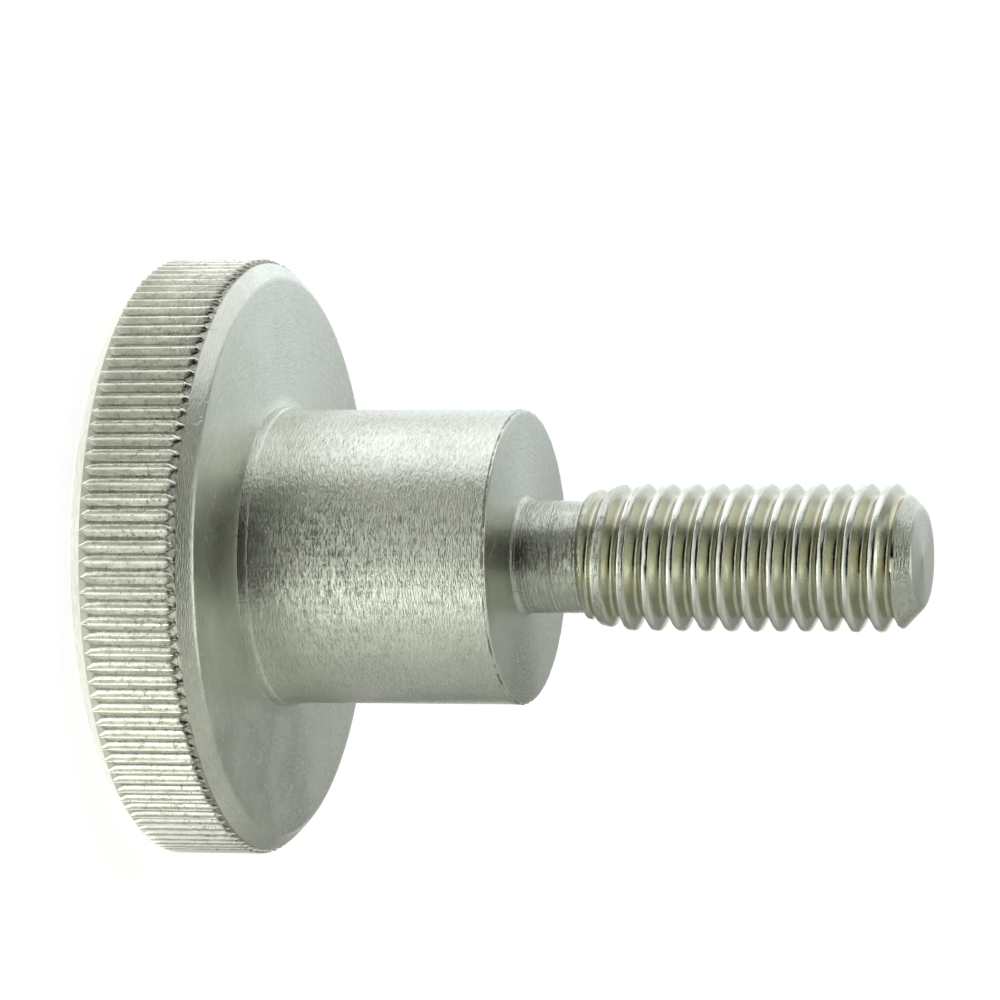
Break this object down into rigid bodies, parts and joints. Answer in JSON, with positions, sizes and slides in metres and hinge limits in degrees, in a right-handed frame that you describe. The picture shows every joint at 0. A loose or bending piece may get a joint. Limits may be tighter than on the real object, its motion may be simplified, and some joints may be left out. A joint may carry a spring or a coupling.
{
  "type": "knurled thumb screw",
  "caption": "High-type thumb screw: straight-knurled disc head, plain collar, relief neck and M6 threaded shank, turned in one piece.",
  "frame": {"origin": "centre of the head's outer face, which the screw stands on", "axes": "+Z along the screw's axis, from the head to the thread's tip; X and Y are across it"},
  "size_m": [0.0236, 0.0236, 0.031],
  "materials": {
    "stainless_steel": "bare stainless steel as turned: satin collar with fine marks round it, brighter pressed knurl, rolled-smooth thread"
  },
  "bodies": {
    "root": {"thumb_screw": "stainless_steel"}
  },
  "joints": []
}
